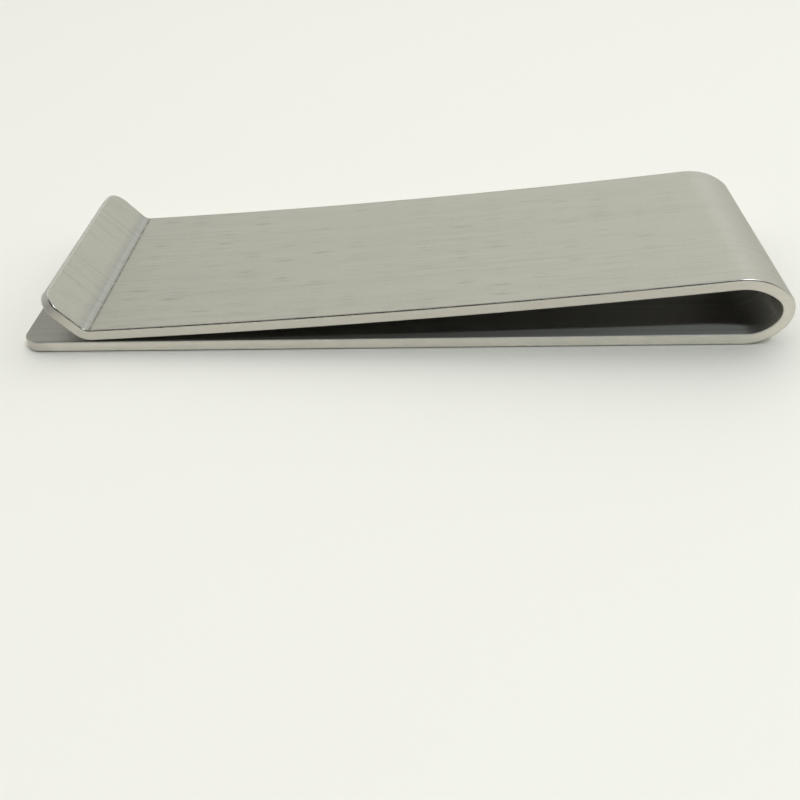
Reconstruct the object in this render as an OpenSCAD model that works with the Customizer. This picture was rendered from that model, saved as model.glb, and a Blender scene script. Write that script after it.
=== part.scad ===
// Money clip: one strip of spring steel sheet, folded back on itself.
// The back leaf lies flat. The fold turns the strip over, the front leaf comes back
// down towards the back leaf, and a bend turns its end up into a thumb lip.
// X runs along the clip, from the free ends (-X) to the fold (+X). Y runs across the
// strip and Z is up. The origin is the middle of the footprint, on the resting face.
// The strip is drawn as its zones, which meet face to face where its curvature changes.

/* [Strip] */
// Width of the strip
strip_w = 20; // [12:0.5:30]
// Thickness of the sheet
strip_t = 0.95; // [0.5:0.05:1.2]
// Length of the clip, from the back leaf's free end to the outside of the fold
clip_len = 60; // [45:1:80]

/* [Back leaf] */
// Corner radius at the back leaf's free end
back_corner_r = 1.5; // [0.5:0.1:4]

/* [Fold] */
// Inside radius of the heel, where the fold leaves the back leaf
heel_r = 2.8; // [2.2:0.1:4]
// Angle that the heel turns through
heel_deg = 53; // [40:1:65]
// Inside radius of the nose, the tight bend at the outer end of the fold
nose_r = 1.3; // [0.8:0.1:2.2]
// Angle that the nose turns through
nose_deg = 87; // [70:1:95]
// Inside radius of the crown, where the fold runs into the front leaf
crown_r = 4.2; // [2.4:0.1:6]

/* [Front leaf] */
// Radius of the front leaf's slight sag towards the back leaf
belly_r = 820; // [600:20:4000]
// Clearance left under the lip's bend when the clip is empty
rest_gap = 0.1; // [0.05:0.05:1]

/* [Thumb lip] */
// Distance from the back leaf's free end to the middle of the lip's bend
lip_inset = 5.8; // [4.5:0.1:12]
// Inside radius of the bend, on its upper face
lip_bend_r = 0.8; // [0.5:0.1:2]
// Angle of the lip above the back leaf
lip_rise_deg = 48; // [30:1:60]
// Length of the lip beyond its bend
lip_len = 3.6; // [2.5:0.1:6]
// Corner radius at the lip's tip
lip_corner_r = 1.6; // [0.5:0.1:2.4]

/* [Hidden] */

// Radii of the strip's middle surface
half_t = strip_t / 2;
heel_mid_r = heel_r + half_t;
nose_mid_r = nose_r + half_t;
crown_mid_r = crown_r + half_t;
lip_mid_r = lip_bend_r + half_t;

// Angles around each bend, from +X towards +Z
flat_deg = -90;
nose_start_deg = flat_deg + heel_deg;
apex_deg = 0;
crown_start_deg = nose_start_deg + nose_deg;
lip_start_deg = 270 - lip_rise_deg;

// Centres of the bends, as [x, z]
free_end_x = -clip_len / 2;
fold_end_x = clip_len / 2;
nose_x = fold_end_x - nose_r - strip_t;
heel_centre = [nose_x - (heel_r - nose_r) * sin(heel_deg), strip_t + heel_r];
nose_centre = heel_centre + (heel_r - nose_r) * along(nose_start_deg);
crown_centre = nose_centre - (crown_r - nose_r) * along(crown_start_deg);
lip_centre = [free_end_x + lip_inset, strip_t + rest_gap + strip_t + lip_bend_r];

// The front leaf's arc touches the crown on one side and the lip's bend on the other
belly_centre = circles_meet(crown_centre, belly_r + crown_mid_r, lip_centre, belly_r - lip_mid_r);
crown_end_deg = heading(belly_centre - crown_centre);
belly_start_deg = 360 + heading(lip_centre - belly_centre);
belly_end_deg = 180 + crown_end_deg;
lip_root = lip_centre + lip_mid_r * along(lip_start_deg);

// Facets in a full turn: the belly's radius is long, so its turn is cut finer
bend_fn = 180;
belly_fn = 2880;

// Unit vector at an angle, as [x, z]
function along(deg) = [cos(deg), sin(deg)];

// Angle of a vector [x, z]
function heading(v) = atan2(v[1], v[0]);

// Upper meeting point of two circles, with centres a and b on the profile
function circles_meet(a, ra, b, rb) =
    let (
        span = norm(b - a),
        u = (b - a) / span,
        foot = (ra * ra - rb * rb + span * span) / (2 * span),
        rise = sqrt(ra * ra - foot * foot),
        side = [u[1], -u[0]]
    )
    a + foot * u + rise * side;

// Part of a bend: the strip swept about a centre, from one angle to another. It is
// placed by its first section, so that a long radius still meets its neighbour exactly.
module bend(centre, mid_r, from_deg, to_deg, turn_fn = bend_fn) {
    start = centre + mid_r * along(from_deg);
    translate([start[0], 0, start[1]])
        rotate([90, 0, 0])
            rotate([0, 0, from_deg])
                translate([-mid_r, 0, 0])
                    rotate_extrude(angle = to_deg - from_deg, $fn = turn_fn)
                        translate([mid_r - half_t, -strip_w / 2])
                            square([strip_t, strip_w]);
}

// Flat end of the strip: it starts at x = 0 and ends in two rounded corners at x = len
module strip_end(len, corner_r) {
    linear_extrude(height = strip_t)
        intersection() {
            translate([0, -strip_w / 2])
                square([len, strip_w]);
            union() {
                translate([0, -strip_w / 2])
                    square([len - corner_r, strip_w]);
                translate([0, corner_r - strip_w / 2])
                    square([len, strip_w - 2 * corner_r]);
                for (side = [-1, 1])
                    translate([len - corner_r, side * (strip_w / 2 - corner_r)])
                        circle(r = corner_r, $fn = 64);
            }
        }
}

module back_leaf() {
    color([0.68, 0.67, 0.62])
        translate([heel_centre[0], 0, 0])
            rotate([0, 0, 180])
                strip_end(heel_centre[0] - free_end_x, back_corner_r);
}

module fold_heel() {
    color([0.62, 0.61, 0.57])
        bend(heel_centre, heel_mid_r, flat_deg, nose_start_deg);
}

module nose_lower() {
    color([0.66, 0.65, 0.60])
        bend(nose_centre, nose_mid_r, nose_start_deg, apex_deg);
}

module nose_upper() {
    color([0.74, 0.73, 0.69])
        bend(nose_centre, nose_mid_r, apex_deg, crown_start_deg);
}

module fold_crown() {
    color([0.72, 0.71, 0.67])
        bend(crown_centre, crown_mid_r, crown_start_deg, crown_end_deg);
}

module front_leaf() {
    color([0.68, 0.67, 0.62])
        bend(belly_centre, belly_r, belly_start_deg, belly_end_deg, belly_fn);
}

module lip_bend() {
    color([0.62, 0.61, 0.57])
        bend(lip_centre, lip_mid_r, lip_start_deg, belly_start_deg);
}

module thumb_lip() {
    color([0.70, 0.69, 0.64])
        translate([lip_root[0], 0, lip_root[1]])
            rotate([0, lip_rise_deg - 180, 0])
                translate([0, 0, -half_t])
                    strip_end(lip_len, lip_corner_r);
}

back_leaf();
fold_heel();
nose_lower();
nose_upper();
fold_crown();
front_leaf();
lip_bend();
thumb_lip();
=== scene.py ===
from math import atan2, ceil, cos, pi, radians, sin, sqrt

import bpy
from mathutils import Matrix, Vector


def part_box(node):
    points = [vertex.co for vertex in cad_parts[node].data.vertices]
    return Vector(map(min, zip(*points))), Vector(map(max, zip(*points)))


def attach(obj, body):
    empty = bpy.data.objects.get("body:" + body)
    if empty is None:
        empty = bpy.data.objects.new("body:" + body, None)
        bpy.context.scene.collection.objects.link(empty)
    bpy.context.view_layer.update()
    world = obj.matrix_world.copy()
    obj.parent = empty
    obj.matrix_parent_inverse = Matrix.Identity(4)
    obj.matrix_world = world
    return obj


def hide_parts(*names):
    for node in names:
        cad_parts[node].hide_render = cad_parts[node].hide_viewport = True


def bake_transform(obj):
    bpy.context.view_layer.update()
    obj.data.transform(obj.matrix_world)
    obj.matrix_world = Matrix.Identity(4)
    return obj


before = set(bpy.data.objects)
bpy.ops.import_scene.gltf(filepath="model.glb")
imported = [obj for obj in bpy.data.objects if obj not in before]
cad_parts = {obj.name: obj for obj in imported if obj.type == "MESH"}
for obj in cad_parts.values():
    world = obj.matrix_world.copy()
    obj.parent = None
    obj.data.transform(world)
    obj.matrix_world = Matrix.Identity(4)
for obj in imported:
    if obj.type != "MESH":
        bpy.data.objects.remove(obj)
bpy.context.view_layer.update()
mm = 0.001
print("frame loaded:", len(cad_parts), "zones of the strip")

# the strip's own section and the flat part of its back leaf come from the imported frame
backLow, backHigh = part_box("back_leaf")
stripWidth = backHigh.y - backLow.y
stripThick = backHigh.z - backLow.z
freeEnd, foldStart = backLow.x, backHigh.x

bendPlan = {
    "heelRadius": 2.8 * mm,  # radii are on the inside of each bend
    "heelAngle": radians(53),
    "noseRadius": 1.3 * mm,
    "noseAngle": radians(87),
    "crownRadius": 4.2 * mm,
    "bellyRadius": 820 * mm,  # the front leaf's slight sag, at mid thickness
    "restGap": 0.1 * mm,
    "lipInset": 5.8 * mm,
    "lipBendRadius": 0.8 * mm,
    "lipRise": radians(48),
    "lipLength": 3.6 * mm,
}

sheetFinish = {
    "arris": 0.15 * mm,  # radius rolled onto the cut edges by tumbling
    "arrisSteps": 6,
    "outerSteps": 2,  # how far the outer face's finish runs over its arris
    "innerSteps": 3,  # and the inner face's
    "support": 0.03 * mm,  # width of the face beside an arris, which keeps the flats flat
    "backCorner": 1.5 * mm,
    "lipCorner": 1.6 * mm,
    "cornerSteps": 14,
    "acrossSteps": 8,
    "turnStep": radians(2.5),  # the most that one step of a bend turns
    "longestStep": 1.5 * mm,
    "closest": 0.02 * mm,
    "sharpAngle": radians(32),
    "seamSet": 1.6 * mm,  # how far inside a flat stretch two pieces of the strip meet
}

# the surfaces of the strip: its two broad faces, the outer arris and the sheared wall
zoneOf = {"outer": 0, "inner": 1, "arris": 2, "wall": 3}


def along(angle):
    return Vector((cos(angle), sin(angle)))


def circlesMeet(a, ra, b, rb):
    # upper meeting point of two circles on the profile
    span = (b - a).length
    u = (b - a) / span
    foot = (ra * ra - rb * rb + span * span) / (2 * span)
    return a + foot * u + sqrt(ra * ra - foot * foot) * Vector((u.y, -u.x))


def layOutStrip(plan):
    # follows the strip's middle surface from the back leaf's free end to the lip's tip
    half = stripThick / 2
    heel = plan["heelRadius"] + half
    nose = plan["noseRadius"] + half
    crown = plan["crownRadius"] + half
    lip = plan["lipBendRadius"] + half
    belly = plan["bellyRadius"]
    heelEnd = plan["heelAngle"] - pi / 2
    noseEnd = heelEnd + plan["noseAngle"]
    heelCentre = Vector((foldStart, half + heel))
    noseCentre = heelCentre + (heel - nose) * along(heelEnd)
    crownCentre = noseCentre - (crown - nose) * along(noseEnd)
    lipCentre = Vector((freeEnd + plan["lipInset"], stripThick + plan["restGap"] + half + lip))
    bellyCentre = circlesMeet(crownCentre, belly + crown, lipCentre, belly - lip)
    crownEnd = atan2(bellyCentre.y - crownCentre.y, bellyCentre.x - crownCentre.x)
    leafEnd = atan2(lipCentre.y - bellyCentre.y, lipCentre.x - bellyCentre.x)
    leafTurn = crownEnd - pi - leafEnd
    lipTurn = leafEnd + pi / 2 + plan["lipRise"]
    turns = [
        ("Heel", heel, plan["heelAngle"]),
        ("Nose", nose, plan["noseAngle"]),
        ("Crown", crown, crownEnd - noseEnd),
        ("Leaf", -belly, -leafTurn),
        ("Lip bend", -lip, -lipTurn),
    ]
    bends, at = [], foldStart
    for name, radius, angle in turns:
        bends.append({"name": name, "start": at, "radius": radius, "angle": angle})
        at += radius * angle
    return bends, at + plan["lipLength"]


bends, tipEnd = layOutStrip(bendPlan)
bendOf = {bend["name"]: bend for bend in bends}
leafStart = bendOf["Leaf"]["start"]
lipBendStart = bendOf["Lip bend"]["start"]
print("strip laid out:", round((tipEnd - freeEnd) / mm, 2), "mm long when flat")


def stationsBetween(start, end):
    # places along the flat blank: close together in a bend, wide apart in a flat
    turnStep, longest = sheetFinish["turnStep"], sheetFinish["longestStep"]
    marks = {start, end}
    for bend in bends:
        length = bend["radius"] * bend["angle"]
        count = max(1, ceil(abs(bend["angle"]) / turnStep), ceil(length / longest))
        for i in range(count + 1):
            marks.add(bend["start"] + length * i / count)
    flat = int((foldStart - freeEnd) / longest)
    for i in range(1, flat):
        marks.add(freeEnd + (foldStart - freeEnd) * i / flat)
    inside = sorted(m for m in marks if start <= m <= end)
    kept = [inside[0]]
    for mark in inside[1:]:
        if mark - kept[-1] > sheetFinish["closest"]:
            kept.append(mark)
    kept[-1] = end
    return kept


def edgeLevels():
    # (inset from the outline, height) down one edge wall, from the top face to the bottom one
    e, steps = sheetFinish["arris"], sheetFinish["arrisSteps"]
    half = stripThick / 2
    turns = [pi / 2 * i / steps for i in range(steps + 1)]
    upper = [(e * (1 - sin(a)), half - e * (1 - cos(a))) for a in turns]
    upper.append((0.0, half - e - sheetFinish["support"]))
    return upper + [(inset, -height) for inset, height in reversed(upper)]


def acrossPlaces(halfWidth):
    # places across the broad face, with a close pair beside each arris
    steps = sheetFinish["acrossSteps"]
    inner = halfWidth - sheetFinish["support"]
    return [-halfWidth] + [-inner + 2 * inner * i / steps for i in range(steps + 1)] + [halfWidth]


def cornerPoint(edge, direction, radius, angle, inset):
    # (place along, half width) at one angle round a free corner, on the outline drawn in by inset
    reach = radius - inset
    place = edge - direction * (radius - reach * sin(angle))
    return place, stripWidth / 2 - radius + reach * cos(angle)


def layStations(start, end, startCorner, endCorner):
    # every cross-section of a blank: where its wall lies on the map, and its outline at any inset
    def flatStation(mark):
        return mark, lambda inset: (mark, stripWidth / 2 - inset)

    def cornerStation(edge, direction, radius, angle):
        wallPlace = edge - direction * radius * (1 - angle)
        return wallPlace, lambda inset: cornerPoint(edge, direction, radius, angle, inset)

    steps = sheetFinish["cornerSteps"]
    angles = [pi / 2 * i / steps for i in range(1, steps + 1)]
    stations = [flatStation(mark) for mark in stationsBetween(start + startCorner, end - endCorner)]
    if startCorner:
        stations = [cornerStation(start, -1, startCorner, a) for a in reversed(angles)] + stations
    if endCorner:
        stations += [cornerStation(end, 1, endCorner, a) for a in angles]
    return stations


def makeBlank(name, start, end, startCorner=0.0, endCorner=0.0):
    # a flat length of the strip: rounded at a free end, cut square where the next piece meets it
    levels = edgeLevels()
    walls = levels[1:-1]
    down = [0.0]
    for (insetA, heightA), (insetB, heightB) in zip(levels, levels[1:]):
        down.append(down[-1] + sqrt((insetB - insetA) ** 2 + (heightB - heightA) ** 2))
    outerSteps, innerSteps = sheetFinish["outerSteps"], sheetFinish["innerSteps"]
    wallSteps = len(levels) - 1 - innerSteps - sheetFinish["arrisSteps"]
    arrisSteps = sheetFinish["arrisSteps"] - outerSteps
    bands = (("inner", innerSteps), ("wall", wallSteps), ("arris", arrisSteps), ("outer", outerSteps))
    levelZones = [zoneOf[zone] for zone, count in bands for k in range(count)]
    columns = len(acrossPlaces(1.0))
    half = stripWidth / 2
    points, faces, corners, zones = [], [], [], []

    def addPoint(x, y, z):
        points.append((x, y, z))
        return len(points) - 1

    def addFace(corner, zone):
        faces.append([point for point, u, v in corner])
        corners.append([(u, v) for point, u, v in corner])
        zones.append(zone)

    rings, wallPlaces = [], []
    for wallPlace, outline in layStations(start, end, startCorner, endCorner):
        x, halfTop = outline(levels[0][0])
        top = [addPoint(x, y, levels[0][1]) for y in acrossPlaces(halfTop)]
        bottom = [addPoint(x, y, levels[-1][1]) for y in acrossPlaces(halfTop)]
        right, left = [top[-1]], [top[0]]
        for inset, height in walls:
            xWall, yWall = outline(inset)
            right.append(addPoint(xWall, yWall, height))
            left.append(addPoint(xWall, -yWall, height))
        right.append(bottom[-1])
        left.append(bottom[0])
        rings.append({"top": top, "bottom": bottom, "right": right, "left": left})
        wallPlaces.append(wallPlace)

    # on the map, from the top face's middle, over the wall, to the bottom face's middle
    across = 2 * half + down[-1]
    for low, high, lowWall, highWall in zip(rings, rings[1:], wallPlaces, wallPlaces[1:]):
        for i in range(columns - 1):
            for side, zone in (("top", zoneOf["inner"]), ("bottom", zoneOf["outer"])):
                quad = [low[side][i], high[side][i], high[side][i + 1], low[side][i + 1]]
                if side == "bottom":
                    quad.reverse()
                    addFace([(p, points[p][0], across - points[p][1]) for p in quad], zone)
                else:
                    addFace([(p, points[p][0], points[p][1]) for p in quad], zone)
        for k, zone in enumerate(levelZones):
            spans = ((k, lowWall, low), (k + 1, lowWall, low), (k + 1, highWall, high), (k, highWall, high))
            addFace([(ring["right"][n], u, half + down[n]) for n, u, ring in reversed(spans)], zone)
            addFace([(ring["left"][n], u, -half - down[n]) for n, u, ring in spans], zone)

    def closeEnd(ring, direction, edge, free):
        # a free end has the same wall as the sides; a seam is one flat face
        if not free:
            loop = ring["top"] + ring["right"][1:] + ring["bottom"][-2::-1] + ring["left"][-2:0:-1]
            if direction > 0:
                loop.reverse()
            addFace([(p, edge, points[p][1]) for p in loop], zoneOf["wall"])
            return
        rows = [ring["top"]]
        for k, (inset, height) in enumerate(walls):
            between = [addPoint(edge - direction * inset, points[p][1], height) for p in ring["top"][1:-1]]
            rows.append([ring["left"][k + 1]] + between + [ring["right"][k + 1]])
        rows.append(ring["bottom"])
        for k, zone in enumerate(levelZones):
            for i in range(columns - 1):
                quad = ((k, i), (k + 1, i), (k + 1, i + 1), (k, i + 1))
                order = quad if direction > 0 else quad[::-1]
                spots = [(rows[n][m], edge + direction * down[n]) for n, m in order]
                addFace([(p, u, points[p][1]) for p, u in spots], zone)

    closeEnd(rings[0], -1, start, startCorner > 0)
    closeEnd(rings[-1], 1, end, endCorner > 0)

    mesh = bpy.data.meshes.new(name)
    mesh.from_pydata(points, [], faces)
    stripMap = mesh.uv_layers.new(name="stripMap")
    stripMap.data.foreach_set("uv", [value for face in corners for spot in face for value in spot])
    zoneLayer = mesh.attributes.new("zone", "INT", "FACE")
    zoneLayer.data.foreach_set("value", zones)
    mesh.shade_smooth()
    mesh.update()
    blank = bpy.data.objects.new(name, mesh)
    bpy.context.scene.collection.objects.link(blank)
    return blank


def addNode(tree, kind, inputs=None, **settings):
    node = tree.nodes.new(kind)
    for key, value in settings.items():
        setattr(node, key, value)
    for key, value in (inputs or {}).items():
        named = [s for s in node.inputs if s.name == key and s.enabled]
        socket = named[0] if named else node.inputs[key]
        if isinstance(value, bpy.types.NodeSocket):
            tree.links.new(value, socket)
        else:
            socket.default_value = value
    return node


def mathNode(tree, operation, a, b=0.0):
    return addNode(tree, "ShaderNodeMath", {0: a, 1: b}, operation=operation).outputs[0]


def buildBendGroup():
    # turns everything beyond Start about one bend; Place holds each point's spot on the flat blank
    tree = bpy.data.node_groups.new("bendAt", "GeometryNodeTree")
    face = tree.interface
    face.new_socket("Geometry", in_out="INPUT", socket_type="NodeSocketGeometry")
    for name in ("Place", "Start", "Radius", "Angle"):
        face.new_socket(name, in_out="INPUT", socket_type="NodeSocketFloat")
    face.new_socket("Geometry", in_out="OUTPUT", socket_type="NodeSocketGeometry")
    given = addNode(tree, "NodeGroupInput").outputs
    length = mathNode(tree, "MULTIPLY", given["Radius"], given["Angle"])
    past = mathNode(tree, "SUBTRACT", given["Place"], given["Start"])
    inBend = mathNode(tree, "MINIMUM", mathNode(tree, "MAXIMUM", past, 0.0), length)
    turned = mathNode(tree, "DIVIDE", inBend, given["Radius"])
    sine, cosine = mathNode(tree, "SINE", turned), mathNode(tree, "COSINE", turned)
    here = addNode(tree, "GeometryNodeInputPosition").outputs[0]
    split = addNode(tree, "ShaderNodeSeparateXYZ", {0: here}).outputs
    base = mathNode(tree, "ADD", given["Start"], inBend)
    reach = mathNode(tree, "SUBTRACT", split["X"], base)
    arcX = mathNode(tree, "ADD", mathNode(tree, "MULTIPLY", given["Radius"], sine), given["Start"])
    arcZ = mathNode(tree, "MULTIPLY", given["Radius"], mathNode(tree, "SUBTRACT", 1.0, cosine))
    reachX = mathNode(tree, "MULTIPLY", reach, cosine)
    reachZ = mathNode(tree, "MULTIPLY", reach, sine)
    riseX = mathNode(tree, "MULTIPLY", split["Z"], sine)
    riseZ = mathNode(tree, "MULTIPLY", split["Z"], cosine)
    newX = mathNode(tree, "ADD", arcX, mathNode(tree, "SUBTRACT", reachX, riseX))
    newZ = mathNode(tree, "ADD", arcZ, mathNode(tree, "ADD", reachZ, riseZ))
    there = addNode(tree, "ShaderNodeCombineXYZ", {"X": newX, "Y": split["Y"], "Z": newZ}).outputs[0]
    moved = addNode(tree, "GeometryNodeSetPosition", {"Geometry": given["Geometry"], "Position": there})
    addNode(tree, "NodeGroupOutput", {"Geometry": moved.outputs[0]})
    return tree


def buildStripTree(finishes):
    # bends a flat blank into the clip, last bend first, so that each one works on a straight strip
    bendGroup = buildBendGroup()
    tree = bpy.data.node_groups.new("foldStrip", "GeometryNodeTree")
    face = tree.interface
    face.new_socket("Geometry", in_out="INPUT", socket_type="NodeSocketGeometry")
    for bend in bends:
        for part in ("start", "radius", "angle"):
            face.new_socket(bend["name"] + " " + part, in_out="INPUT", socket_type="NodeSocketFloat")
    face.new_socket("Lift", in_out="INPUT", socket_type="NodeSocketFloat")
    face.new_socket("Geometry", in_out="OUTPUT", socket_type="NodeSocketGeometry")
    given = addNode(tree, "NodeGroupInput").outputs
    here = addNode(tree, "GeometryNodeInputPosition").outputs[0]
    flatX = addNode(tree, "ShaderNodeSeparateXYZ", {0: here}).outputs["X"]
    shape = addNode(
        tree, "GeometryNodeStoreNamedAttribute",
        {"Geometry": given["Geometry"], "Name": "flatPlace", "Value": flatX},
        data_type="FLOAT", domain="POINT",
    ).outputs[0]
    place = addNode(
        tree, "GeometryNodeInputNamedAttribute", {"Name": "flatPlace"}, data_type="FLOAT",
    ).outputs[0]
    for bend in reversed(bends):
        settings = {"Geometry": shape, "Place": place}
        for part in ("start", "radius", "angle"):
            settings[part.capitalize()] = given[bend["name"] + " " + part]
        shape = addNode(tree, "GeometryNodeGroup", settings, node_tree=bendGroup).outputs[0]
    lifted = addNode(tree, "ShaderNodeCombineXYZ", {"Z": given["Lift"]}).outputs[0]
    shape = addNode(tree, "GeometryNodeSetPosition", {"Geometry": shape, "Offset": lifted}).outputs[0]
    shape = addNode(tree, "GeometryNodeRealizeInstances", {"Geometry": shape}).outputs[0]
    zone = addNode(tree, "GeometryNodeInputNamedAttribute", {"Name": "zone"}, data_type="INT").outputs[0]
    for name, number in zoneOf.items():
        chosen = addNode(
            tree, "FunctionNodeCompare", {"A": zone, "B": number}, data_type="INT", operation="EQUAL",
        ).outputs[0]
        shape = addNode(
            tree, "GeometryNodeSetMaterial",
            {"Geometry": shape, "Selection": chosen, "Material": finishes[name]},
        ).outputs[0]
    addNode(tree, "NodeGroupOutput", {"Geometry": shape})
    return tree


def foldPiece(blank, tree):
    # runs the tree on a blank and keeps the result as a plain mesh
    modifier = blank.modifiers.new("fold", "NODES")
    modifier.node_group = tree
    sockets = {s.name: s.identifier for s in tree.interface.items_tree if s.in_out == "INPUT"}
    for bend in bends:
        for part in ("start", "radius", "angle"):
            modifier[sockets[bend["name"] + " " + part]] = float(bend[part])
    modifier[sockets["Lift"]] = stripThick / 2
    bpy.context.view_layer.update()
    graph = bpy.context.evaluated_depsgraph_get()
    folded = bpy.data.meshes.new_from_object(
        blank.evaluated_get(graph), preserve_all_data_layers=True, depsgraph=graph,
    )
    blank.modifiers.clear()
    flat = blank.data
    blank.data = folded
    bpy.data.meshes.remove(flat)
    folded.name = blank.name
    folded.set_sharp_from_angle(angle=sheetFinish["sharpAngle"])
    return blank


# grain of the brushing: (length along the strip, width across it, detail, offset of its pattern)
grainPlan = {
    "fine": (30 * mm, 0.07 * mm, 2.0, 3.7),
    "broad": (60 * mm, 0.4 * mm, 2.0, 11.3),
    "hairline": (70 * mm, 0.13 * mm, 0.0, 23.1),
    "cloud": (14 * mm, 8 * mm, 2.0, 5.9),
    "glint": (3 * mm, 0.16 * mm, 0.0, 41.7),
    "grit": (0.3 * mm, 0.12 * mm, 1.0, 63.1),
}
grainRoughness = 0.6
# the part of each noise's range that is spread over its whole effect
noiseSpan = {"fine": (0.25, 0.75), "soft": (0.3, 0.7), "hairline": (0.13, 0.22), "glint": (0.7, 0.82)}
bumpDepth = 0.004 * mm

# the dark line painted along the lip bend's crease (painted shade), and the cooler, darker painted sheen
# beside it on the bend
creaseShadeSheenPlan = {
    "core": 0.07 * mm,
    "edge": 0.2 * mm,
    "patch": 0.9 * mm,  # length of the darker and lighter stretches
    "patchSpan": (0.3, 0.65),
    "faintest": 0.5,  # depth of the line where it is faintest, as a share of its full depth
    # where the painted sheen on the bend rises and falls, past the crease line
    "paintedSheenRise": (0.05 * mm, 0.25 * mm),
    "paintedSheenFall": (0.9 * mm, 1.7 * mm),
}
markCore = 0.4  # share of a soft mark's reach that has its full depth

satinPlan = {
    "mottleSize": 0.35 * mm,
    "drawn": 0.25,  # squeezes the mottle's pattern along X, which draws it out that way
    "backShadeSpan": (0.6 * mm, 3 * mm),  # painted shade from the back leaf's end: full up to here, gone from here
    "tipShadeSpan": (0.8 * mm, 3.2 * mm),  # the same painted shade from the lip's tip
}


def spanned(tree, value, low, high, newLow, newHigh):
    return addNode(
        tree, "ShaderNodeMapRange",
        {"Value": value, "From Min": low, "From Max": high, "To Min": newLow, "To Max": newHigh},
    ).outputs[0]


def scaled(tree, colour, tone):
    return addNode(tree, "ShaderNodeVectorMath", {0: colour, "Scale": tone}, operation="SCALE").outputs[0]


def addBump(tree, height, strength, shader):
    settings = {"Height": height, "Strength": strength, "Distance": bumpDepth}
    bump = addNode(tree, "ShaderNodeBump", settings)
    tree.links.new(bump.outputs[0], shader.inputs["Normal"])


def swing(tree, noise, span, amount):
    # a noise's span, turned into a tone on either side of 1
    return spanned(tree, noise, *noiseSpan[span], 1 - amount, 1 + amount)


def markTone(tree, split, marks):
    # long soft marks on the unrolled map: (place, across, half length, half width, slope, depth)
    tone = 1.0
    for place, across, halfLength, halfWidth, slope, depth in marks:
        forward = mathNode(tree, "SUBTRACT", split["X"], place)
        drift = mathNode(tree, "MULTIPLY", forward, slope)
        aside = mathNode(tree, "SUBTRACT", mathNode(tree, "SUBTRACT", split["Y"], across), drift)
        spotX = mathNode(tree, "DIVIDE", forward, halfLength)
        spotY = mathNode(tree, "DIVIDE", aside, halfWidth)
        spot = addNode(tree, "ShaderNodeCombineXYZ", {"X": spotX, "Y": spotY}).outputs[0]
        reach = addNode(tree, "ShaderNodeVectorMath", {0: spot}, operation="LENGTH").outputs["Value"]
        tone = mathNode(tree, "MULTIPLY", spanned(tree, reach, markCore, 1.0, 1.0 - depth, 1.0), tone)
    return tone


def creaseShadeTone(tree, split, past, look):
    # painted shade: a dark line along the crease where the lip's bend starts, broken along its length, times
    # the marks on the front leaf and lip
    patchy = addNode(
        tree, "ShaderNodeTexNoise", {"W": split["Y"], "Scale": 1 / creaseShadeSheenPlan["patch"], "Detail": 2.0},
        noise_dimensions="1D",
    ).outputs[0]
    away = mathNode(tree, "ABSOLUTE", past)
    line = spanned(tree, away, creaseShadeSheenPlan["core"], creaseShadeSheenPlan["edge"], 1.0, 0.0)
    faint, full = creaseShadeSheenPlan["faintest"] * look["creaseShadeTone"], look["creaseShadeTone"]
    depth = spanned(tree, patchy, *creaseShadeSheenPlan["patchSpan"], faint, full)
    creaseShaded = mathNode(tree, "SUBTRACT", 1.0, mathNode(tree, "MULTIPLY", line, depth))
    return mathNode(tree, "MULTIPLY", creaseShaded, markTone(tree, split, look["marks"]))


def paintedBendSheen(tree, past, look):
    # painted sheen and shade: the sheet's colour turned cooler and darker on the lip's bend, beside the
    # crease line
    rise = spanned(tree, past, *creaseShadeSheenPlan["paintedSheenRise"], 0.0, 1.0)
    fall = spanned(tree, past, *creaseShadeSheenPlan["paintedSheenFall"], 1.0, 0.0)
    ends = {"A": (*look["colour"], 1.0), "B": (*look["paintedSheenColour"], 1.0)}
    return addNode(
        tree, "ShaderNodeMix", {"Factor": mathNode(tree, "MULTIPLY", rise, fall), **ends}, data_type="RGBA",
    ).outputs["Result"]


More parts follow.
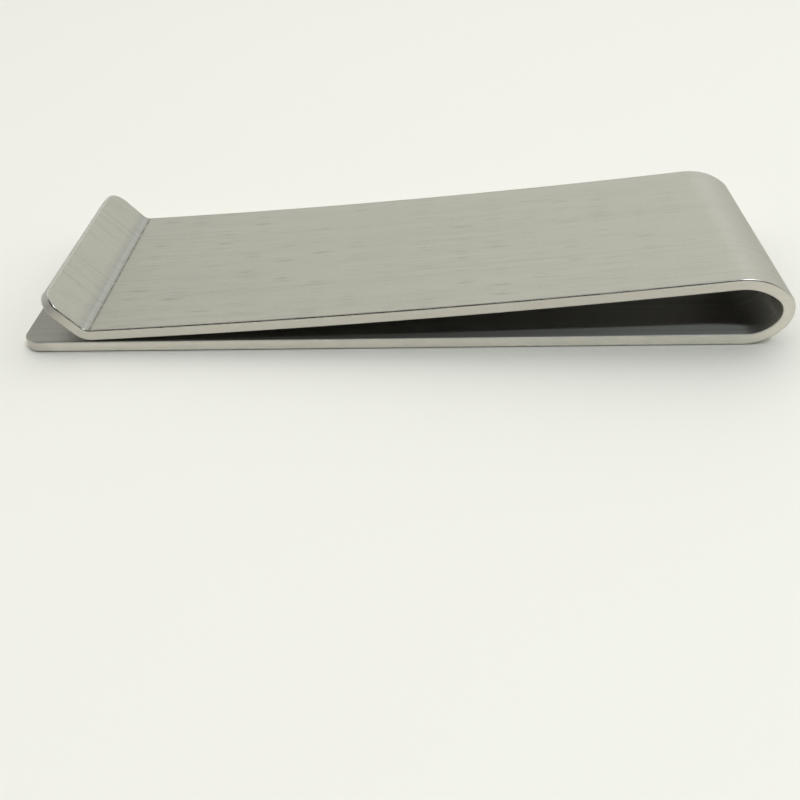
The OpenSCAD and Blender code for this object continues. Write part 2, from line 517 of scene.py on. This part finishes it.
def brushedSteel(name, look):
    # brushed sheet: fine grain and long hairlines along the strip, on the piece's own unrolled map
    material = bpy.data.materials.new(name)
    material.use_nodes = True
    tree = material.node_tree
    shader = tree.nodes["Principled BSDF"]
    shader.inputs["Metallic"].default_value = 1.0
    shader.inputs["Anisotropic"].default_value = look["anisotropy"]
    shader.inputs["Anisotropic Rotation"].default_value = look["glossTurn"]
    tangent = addNode(tree, "ShaderNodeTangent", direction_type="UV_MAP", uv_map="stripMap")
    tree.links.new(tangent.outputs[0], shader.inputs["Tangent"])
    place = addNode(tree, "ShaderNodeUVMap", uv_map="stripMap").outputs[0]

    def grain(layer):
        alongLength, acrossWidth, detail, offset = grainPlan[layer]
        scale = (1 / alongLength, 1 / acrossWidth, 1.0)
        spread = addNode(
            tree, "ShaderNodeMapping", {"Vector": place, "Location": (offset, offset, 0.0), "Scale": scale},
        ).outputs[0]
        return addNode(
            tree, "ShaderNodeTexNoise",
            {"Vector": spread, "Scale": 1.0, "Detail": detail, "Roughness": grainRoughness},
            noise_dimensions="2D",
        ).outputs[0]

    fine = grain("fine")
    hairline = spanned(tree, grain("hairline"), *noiseSpan["hairline"], 1.0, 0.0)
    glint = spanned(tree, grain("glint"), *noiseSpan["glint"], 0.0, look["glint"])
    tone = swing(tree, fine, "fine", look["fineTone"])
    for layer in ("broad", "cloud", "grit"):
        tone = mathNode(tree, "MULTIPLY", tone, swing(tree, grain(layer), "soft", look[layer + "Tone"]))
    tone = mathNode(tree, "MULTIPLY", tone, spanned(tree, hairline, 0.0, 1.0, 1.0, 1 - look["hairlineTone"]))
    colour = look["colour"]
    # painted shade along the lip bend's crease, and a painted sheen on the bend beside it
    if look["creaseAt"]:
        split = addNode(tree, "ShaderNodeSeparateXYZ", {0: place}).outputs
        past = mathNode(tree, "SUBTRACT", split["X"], look["creaseAt"])
        tone = mathNode(tree, "MULTIPLY", tone, creaseShadeTone(tree, split, past, look))
        # painted sheen: a cooler, darker tone on the lip's bend
        colour = paintedBendSheen(tree, past, look)
    tree.links.new(scaled(tree, colour, tone), shader.inputs["Base Color"])
    low, high = look["roughness"] - look["roughSpread"], look["roughness"] + look["roughSpread"]
    rough = spanned(tree, fine, *noiseSpan["fine"], low, high)
    rough = mathNode(tree, "ADD", rough, mathNode(tree, "MULTIPLY", hairline, look["hairlineRough"]))
    tree.links.new(mathNode(tree, "ADD", rough, glint), shader.inputs["Roughness"])
    height = mathNode(tree, "SUBTRACT", fine, mathNode(tree, "MULTIPLY", hairline, look["hairlineDepth"]))
    addBump(tree, height, look["bump"], shader)
    return material


def satinSteel(name, look):
    # sheared wall or rolled arris: satin, faintly mottled, with painted shade at the strip's two ends and
    # painted light on the back leaf's walls
    material = bpy.data.materials.new(name)
    material.use_nodes = True
    tree = material.node_tree
    shader = tree.nodes["Principled BSDF"]
    shader.inputs["Metallic"].default_value = 1.0
    place = addNode(tree, "ShaderNodeTexCoord").outputs["Object"]
    stretch = (satinPlan["drawn"], 1.0, 1.0)
    drawn = addNode(tree, "ShaderNodeMapping", {"Vector": place, "Scale": stretch}).outputs[0]
    mottle = addNode(
        tree, "ShaderNodeTexNoise", {"Vector": drawn, "Scale": 1 / satinPlan["mottleSize"], "Detail": 3.0},
    ).outputs[0]
    tone = swing(tree, mottle, "soft", look["mottle"])
    unrolled = addNode(tree, "ShaderNodeUVMap", uv_map="stripMap").outputs[0]
    onStrip = addNode(tree, "ShaderNodeSeparateXYZ", {0: unrolled}).outputs["X"]
    backShadeSpan = [freeEnd + reach for reach in satinPlan["backShadeSpan"]]
    tipShadeSpan = [tipEnd - reach for reach in satinPlan["tipShadeSpan"]]
    # painted shade darkening the walls and arris towards both ends of the strip
    for shadedAt, clearAt in (backShadeSpan, tipShadeSpan):
        tone = mathNode(tree, "MULTIPLY", tone, spanned(tree, onStrip, shadedAt, clearAt, look["endPaintedShade"], 1.0))
    # painted light on the back leaf's side of the fold, fading out towards the front leaf
    backPaintedLightRamp = spanned(tree, onStrip, foldStart, leafStart, look["backPaintedLight"], 1.0)
    tone = mathNode(tree, "MULTIPLY", tone, backPaintedLightRamp)
    tree.links.new(scaled(tree, look["colour"], tone), shader.inputs["Base Color"])
    low, high = look["roughness"] - look["roughSpread"], look["roughness"] + look["roughSpread"]
    tree.links.new(spanned(tree, mottle, *noiseSpan["soft"], low, high), shader.inputs["Roughness"])
    addBump(tree, mottle, look["bump"], shader)
    return material


outerLook = {
    "colour": (0.392, 0.386, 0.335),
    "roughness": 0.46,
    "roughSpread": 0.05,
    "anisotropy": 0.75,
    "glossTurn": 0.25,  # a quarter turn, so that highlights stretch across the brushing
    "fineTone": 0.03,
    "broadTone": 0.015,
    "cloudTone": 0.01,
    "hairlineTone": 0.12,
    "hairlineRough": 0.1,
    "hairlineDepth": 0.6,
    "glint": 0.1,
    "gritTone": 0.025,
    "bump": 0.2,
    "creaseAt": lipBendStart + 0.1 * mm,
    # depth of the dark line painted in the crease: painted shade
    "creaseShadeTone": 0.5,
    # (place, across, half length, half width, slope, depth)
    "marks": [
        (leafStart + 11.2 * mm, -4.35 * mm, 11.6 * mm, 0.09 * mm, 0.022, 0.16),
        (leafStart + 35 * mm, -3.75 * mm, 7.2 * mm, 0.08 * mm, 0.021, 0.12),
        (leafStart + 15.4 * mm, -8.5 * mm, 0.14 * mm, 0.08 * mm, 0.0, 0.5),
        (tipEnd - 2.1 * mm, -9.0 * mm, 0.5 * mm, 0.12 * mm, 0.1, 0.25),
        (tipEnd - 1.6 * mm, -8.5 * mm, 0.3 * mm, 0.1 * mm, 0.0, 0.2),
        (tipEnd - 1.9 * mm, -3.4 * mm, 1.5 * mm, 0.06 * mm, 0.02, 0.14),
    ],
    # colour painted on the lip's bend: painted shade with the cool tint of a painted reflection
    "paintedSheenColour": (0.335, 0.337, 0.305),
}
innerShadedLook = {
    **outerLook,
    # darker than the outer face: painted shade for the dim inside of the fold between the leaves
    "colour": (0.31, 0.303, 0.27),
    "roughness": 0.56,
    "fineTone": 0.05,
    "broadTone": 0.03,
    "glint": 0.0,
    "creaseAt": 0.0,
}
arrisLook = {
    # paler than the broad faces, which brightens the lamp's highlight along the arris: painted highlight
    "colour": (0.6, 0.585, 0.525),
    # painted shade at the strip's two ends, dimming the arris's reflection there
    "endPaintedShade": 0.65,
    "backPaintedLight": 1.0,
    "roughness": 0.27,
    "roughSpread": 0.05,
    "mottle": 0.05,
    "bump": 0.2,
}
wallLook = {
    # paler than the same steel's broad faces: painted light on the sheared walls
    "colour": (0.785, 0.76, 0.69),
    # painted shade at the strip's two ends
    "endPaintedShade": 0.68,
    # the back leaf's walls painted a fifth lighter, fading over the fold: painted light
    "backPaintedLight": 1.2,
    "roughness": 0.62,
    "roughSpread": 0.08,
    "mottle": 0.05,
    "bump": 0.5,
}
finishes = {
    "outer": brushedSteel("outerBrushed", outerLook),
    "inner": brushedSteel("innerBrushedShaded", innerShadedLook),
    "arris": satinSteel("rolledArris", arrisLook),
    "wall": satinSteel("shearedWall", wallLook),
}
stripTree = buildStripTree(finishes)
print("finishes and bending tree built")

seam = sheetFinish["seamSet"]
foldNodes = ["fold_heel", "nose_lower", "nose_upper", "fold_crown"]
# (start, end, corner radius at the start, at the end, CAD nodes)
pieces = {
    "backLeaf": (freeEnd, foldStart - seam, sheetFinish["backCorner"], 0.0, ["back_leaf"]),
    "springFold": (foldStart - seam, leafStart + seam, 0.0, 0.0, foldNodes),
    "frontLeaf": (leafStart + seam, lipBendStart - seam, 0.0, 0.0, ["front_leaf"]),
    "thumbLip": (lipBendStart - seam, tipEnd, 0.0, sheetFinish["lipCorner"], ["lip_bend", "thumb_lip"]),
}
made = {}
for name, (start, end, startCorner, endCorner, nodes) in pieces.items():
    piece = foldPiece(makeBlank(name, start, end, startCorner, endCorner), stripTree)
    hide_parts(*nodes)
    made[name] = piece
    print("folded", name, len(piece.data.polygons), "faces")

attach(made["backLeaf"], "back")
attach(made["frontLeaf"], "arm")
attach(made["thumbLip"], "arm")
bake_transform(made["springFold"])

stageLook = {
    "floorColour": (0.9, 0.885, 0.82),
    "floorRoughness": 0.7,
    "floorHalf": 1.5,
    "room": 1.56,
    "roomColour": (1.0, 1.0, 0.975),
    "brightSide": (0.05, 0.82, 0.55),
    "farSide": 0.05,  # brightness opposite the bright side, as a share of the bright side's
    "lampDirection": (0.40, -0.35, 0.85),
    "lampDistance": 0.5,
    "lampSize": 0.04,
    "lampPower": 0.55,
    "lampColour": (0.84, 0.93, 1.0),
}
# dim patches of the room, with their share of its brightness inside the inner angle
dimPatches = [
    {"towards": (0.0, -0.84, 0.54), "inner": radians(40), "outer": radians(66), "share": 0.08},
    {"towards": (-0.7, 0.7, 0.0), "inner": radians(12), "outer": radians(36), "share": 0.5},
]


def makeFloor():
    mesh = bpy.data.meshes.new("tableTop")
    side = stageLook["floorHalf"]
    corners = [(-side, -side, 0), (side, -side, 0), (side, side, 0), (-side, side, 0)]
    mesh.from_pydata(corners, [], [(0, 1, 2, 3)])
    floor = bpy.data.objects.new("tableTop", mesh)
    bpy.context.scene.collection.objects.link(floor)
    material = bpy.data.materials.new("tableSkin")
    material.use_nodes = True
    shader = material.node_tree.nodes["Principled BSDF"]
    shader.inputs["Base Color"].default_value = (*stageLook["floorColour"], 1)
    shader.inputs["Roughness"].default_value = stageLook["floorRoughness"]
    mesh.materials.append(material)


def alignment(tree, direction, towards):
    # cosine of the angle between a direction of view and a fixed one
    fixed = Vector(towards).normalized()
    return addNode(
        tree, "ShaderNodeVectorMath", {0: direction, 1: fixed}, operation="DOT_PRODUCT",
    ).outputs["Value"]


def makeRoom():
    # a pale room, brightest at the back and above, with dim patches that draw the arrises as dark lines
    world = bpy.data.worlds.new("softRoom")
    bpy.context.scene.world = world
    world.use_nodes = True
    tree = world.node_tree
    background = tree.nodes["Background"]
    direction = addNode(tree, "ShaderNodeTexCoord").outputs["Generated"]
    level = stageLook["room"]
    for patch in dimPatches:
        span = {"From Min": cos(patch["outer"]), "From Max": cos(patch["inner"]), "To Min": 1.0}
        dimmed = addNode(
            tree, "ShaderNodeMapRange",
            {"Value": alignment(tree, direction, patch["towards"]), **span, "To Max": patch["share"]},
            interpolation_type="SMOOTHSTEP",
        ).outputs[0]
        level = mathNode(tree, "MULTIPLY", dimmed, level)
    facing = alignment(tree, direction, stageLook["brightSide"])
    slope = spanned(tree, facing, -1.0, 1.0, stageLook["farSide"], 1.0)
    background.inputs["Color"].default_value = (*stageLook["roomColour"], 1)
    tree.links.new(mathNode(tree, "MULTIPLY", level, slope), background.inputs["Strength"])


def makeLamp():
    # a small cool lamp high on the near side, to the right
    away = Vector(stageLook["lampDirection"]).normalized()
    lamp = bpy.data.lights.new("lamp", "AREA")
    lamp.shape = "DISK"
    lamp.size = stageLook["lampSize"]
    lamp.energy = stageLook["lampPower"]
    lamp.color = stageLook["lampColour"]
    holder = bpy.data.objects.new("lamp", lamp)
    holder.location = away * stageLook["lampDistance"]
    holder.rotation_euler = (-away).to_track_quat("-Z", "Y").to_euler()
    bpy.context.scene.collection.objects.link(holder)


cameraPlan = {
    "lens": 42.10,
    "sensor": 36,
    "near": 0.001,
    "far": 10,
    "place": (3.10 * mm, -71.24 * mm, 40.56 * mm),
    "heading": radians(-2.96),  # to the left of straight along the width
    "tilt": radians(36.63),  # down from level
    "roll": radians(2.25),
}


def makeCamera():
    data = bpy.data.cameras.new("camera")
    data.lens = cameraPlan["lens"]
    data.sensor_width = cameraPlan["sensor"]
    data.clip_start = cameraPlan["near"]
    data.clip_end = cameraPlan["far"]
    camera = bpy.data.objects.new("camera", data)
    turn = Matrix.Rotation(-cameraPlan["heading"], 4, "Z")
    turn = turn @ Matrix.Rotation(pi / 2 - cameraPlan["tilt"], 4, "X")
    turn = turn @ Matrix.Rotation(-cameraPlan["roll"], 4, "Z")
    camera.matrix_world = Matrix.Translation(cameraPlan["place"]) @ turn
    bpy.context.scene.collection.objects.link(camera)
    bpy.context.scene.camera = camera


makeFloor()
makeRoom()
makeLamp()
makeCamera()
bpy.context.scene.view_settings.view_transform = "Standard"
print("stage set")
